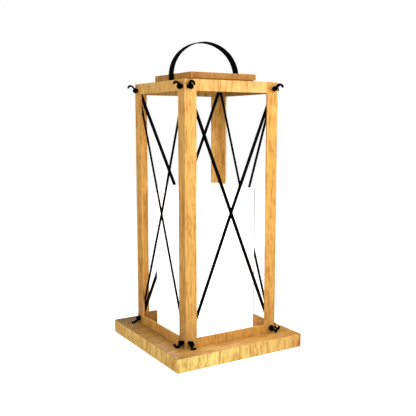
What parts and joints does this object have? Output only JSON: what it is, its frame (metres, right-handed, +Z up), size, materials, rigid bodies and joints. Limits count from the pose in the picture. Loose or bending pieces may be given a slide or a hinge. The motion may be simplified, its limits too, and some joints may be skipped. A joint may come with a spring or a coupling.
{
  "type": "lantern",
  "caption": "Free-standing square wooden lantern: thick base board, open frame braced by crossed black laces, box diffuser inside, small lid and swinging band handle.",
  "frame": {"origin": "on the floor under the middle of the base board", "axes": "+Z up; the handle's pivots lie on a line along X; -Y is the front"},
  "size_m": [0.243, 0.243, 0.5185],
  "materials": {
    "wood_pale": "oiled honey-coloured solid wood with fine upright grain",
    "wood_brown": "oiled wood, browner than the frame",
    "black_lace": "flat black leather lace, dull",
    "black_metal": "satin black paint on spring steel",
    "black_plastic": "fine matt texture",
    "rubber_pad": "matt",
    "steel": "zinc plated",
    "brass": "turned",
    "diffuser_white": "opal acrylic, lit from inside",
    "white_plastic": "moulded",
    "aluminium": "extruded",
    "led_light": "light emitting strip",
    "battery_wrap": "shrink wrap",
    "circuit_green": "circuit board"
  },
  "bodies": {
    "lantern": {"base_plate": "wood_pale", "base_cover": "black_plastic", "cover_screws": "steel", "foot_pads": "rubber_pad", "base_screws": "steel", "post_front_left": "wood_pale", "post_front_right": "wood_pale", "post_back_right": "wood_pale", "post_back_left": "wood_pale", "lower_rail_front": "wood_pale", "lower_rail_right": "wood_pale", "lower_rail_back": "wood_pale", "lower_rail_left": "wood_pale", "upper_rail_front": "wood_pale", "upper_rail_right": "wood_pale", "upper_rail_back": "wood_pale", "upper_rail_left": "wood_pale", "roof_board": "wood_pale", "roof_screws": "steel", "lid_spacer": "wood_brown", "lid_board": "wood_brown", "lid_screws": "steel", "pivot_inserts": "brass", "pivot_screws": "black_metal", "pivot_washers": "black_plastic", "lace_front_a": "black_lace", "lace_front_b": "black_lace", "lace_right_a": "black_lace", "lace_right_b": "black_lace", "lace_back_a": "black_lace", "lace_back_b": "black_lace", "lace_left_a": "black_lace", "lace_left_b": "black_lace", "diffuser": "diffuser_white", "light_tray": "white_plastic", "tray_screws": "steel", "light_column": "aluminium", "led_strips": "led_light", "column_cap": "white_plastic", "battery_pack": "battery_wrap", "control_board": "circuit_green", "charge_socket": "steel", "switch_body": "black_plastic"},
    "handle": {"handle_strap": "black_metal"},
    "button": {"switch_button": "black_plastic"}
  },
  "joints": [
    {"name": "handle_swing", "type": "hinge", "parent": "lantern", "child": "handle", "pos_m": [0, 0, 0.4583], "axis": [1, 0, 0], "range_deg": [-30, 30]},
    {"name": "button_press", "type": "slide", "parent": "lantern", "child": "button", "axis": [0, 0, 1], "range_m": [0, 0.0012], "stiffness_N_per_m": 600}
  ]
}
